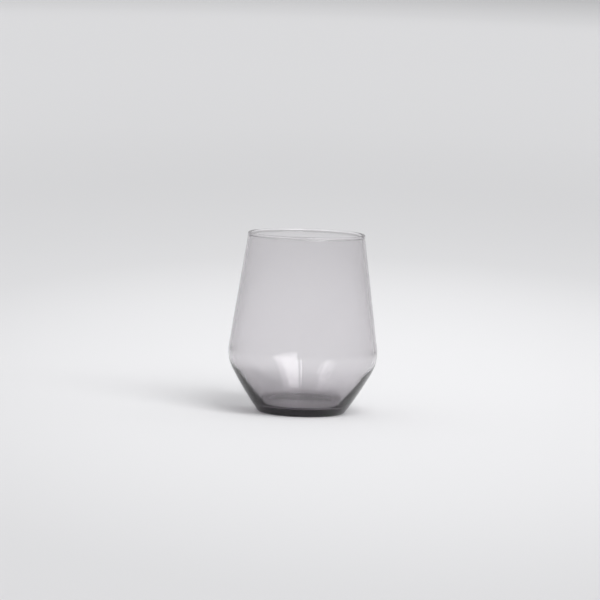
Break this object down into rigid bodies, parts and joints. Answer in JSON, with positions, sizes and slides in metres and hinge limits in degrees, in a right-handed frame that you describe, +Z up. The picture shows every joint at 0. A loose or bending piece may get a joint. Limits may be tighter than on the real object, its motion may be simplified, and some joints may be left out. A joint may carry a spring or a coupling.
{
  "type": "whiskey tumbler",
  "caption": "Stemless drinking tumbler in one piece of smoke-grey glass: walls flare down to a rounded low belly, then taper to a thick narrow foot.",
  "frame": {"origin": "centre of the ring that the foot stands on, in the plane of the table", "axes": "+Z up along the tumbler's axis of revolution, towards the open rim; X and Y are any two directions across it"},
  "size_m": [0.0828, 0.0828, 0.1],
  "materials": {
    "smoke_glass": "clear, smooth, smoke-grey soda-lime glass with a fire-polished rim"
  },
  "bodies": {
    "root": {"tumbler_glass": "smoke_glass"}
  },
  "joints": []
}
